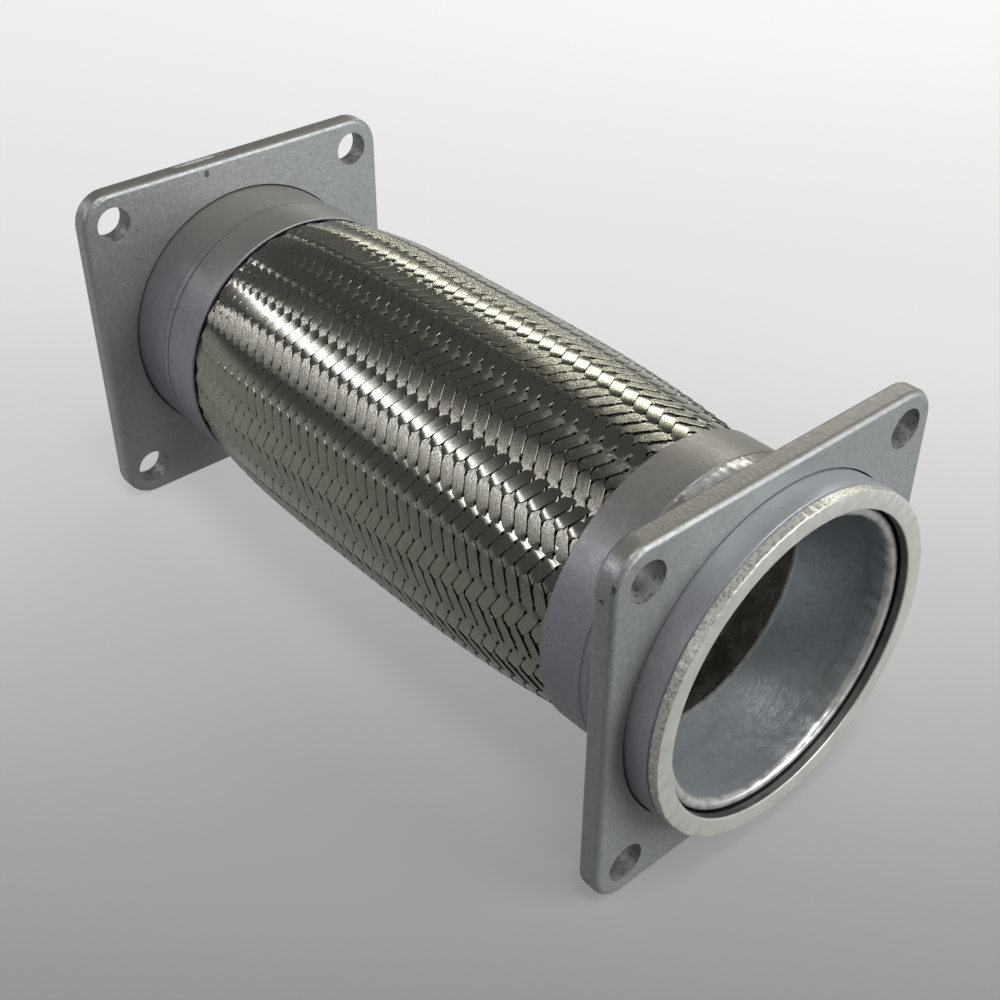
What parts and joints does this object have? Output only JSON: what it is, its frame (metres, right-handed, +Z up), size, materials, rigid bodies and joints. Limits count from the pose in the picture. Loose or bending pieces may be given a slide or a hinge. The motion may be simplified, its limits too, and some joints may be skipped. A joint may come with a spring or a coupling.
{
  "type": "flexible exhaust pipe",
  "caption": "Short braided flexible exhaust pipe with loose square bolt flanges and turned sealing rings at both ends.",
  "frame": {"origin": "on the pipe axis, halfway between the two sealing faces, which is the centre of the whole part's box", "axes": "+X along the pipe towards the near end, +Z up, square to a flange edge, +Y across"},
  "size_m": [0.3, 0.13, 0.13],
  "materials": {
    "flange_paint": "light grey paint over plate, softened edges",
    "tube_paint": "light grey metallic paint",
    "ring_steel": "turned bare face, painted side",
    "braid_steel": "woven bright wire strands",
    "bellows_steel": "plain mill finish",
    "liner_steel": "strip-wound, dull"
  },
  "bodies": {
    "far_end": {"far_collar": "tube_paint", "far_seal_ring": "ring_steel", "far_inner_cone": "tube_paint", "far_ferrule": "tube_paint", "braid": "braid_steel", "bellows": "bellows_steel", "liner": "liner_steel"},
    "near_end": {"near_collar": "tube_paint", "near_seal_ring": "ring_steel", "near_inner_cone": "tube_paint", "near_ferrule": "tube_paint"},
    "near_flange": {"near_flange": "flange_paint"},
    "far_flange": {"far_flange": "flange_paint"}
  },
  "joints": [
    {"name": "pipe_flex", "type": "hinge", "parent": "far_end", "child": "near_end", "pos_m": [0.0036, 0, 0], "axis": [0, 0, 1], "range_deg": [-10, 10], "stiffness_Nm_per_rad": 40, "deforming": ["braid", "bellows", "liner"]},
    {"name": "near_flange_swivel", "type": "hinge", "parent": "near_end", "child": "near_flange", "pos_m": [0.134, 0, 0], "axis": [1, 0, 0], "continuous": true},
    {"name": "far_flange_swivel", "type": "hinge", "parent": "far_end", "child": "far_flange", "pos_m": [-0.134, 0, 0], "axis": [1, 0, 0], "continuous": true}
  ]
}
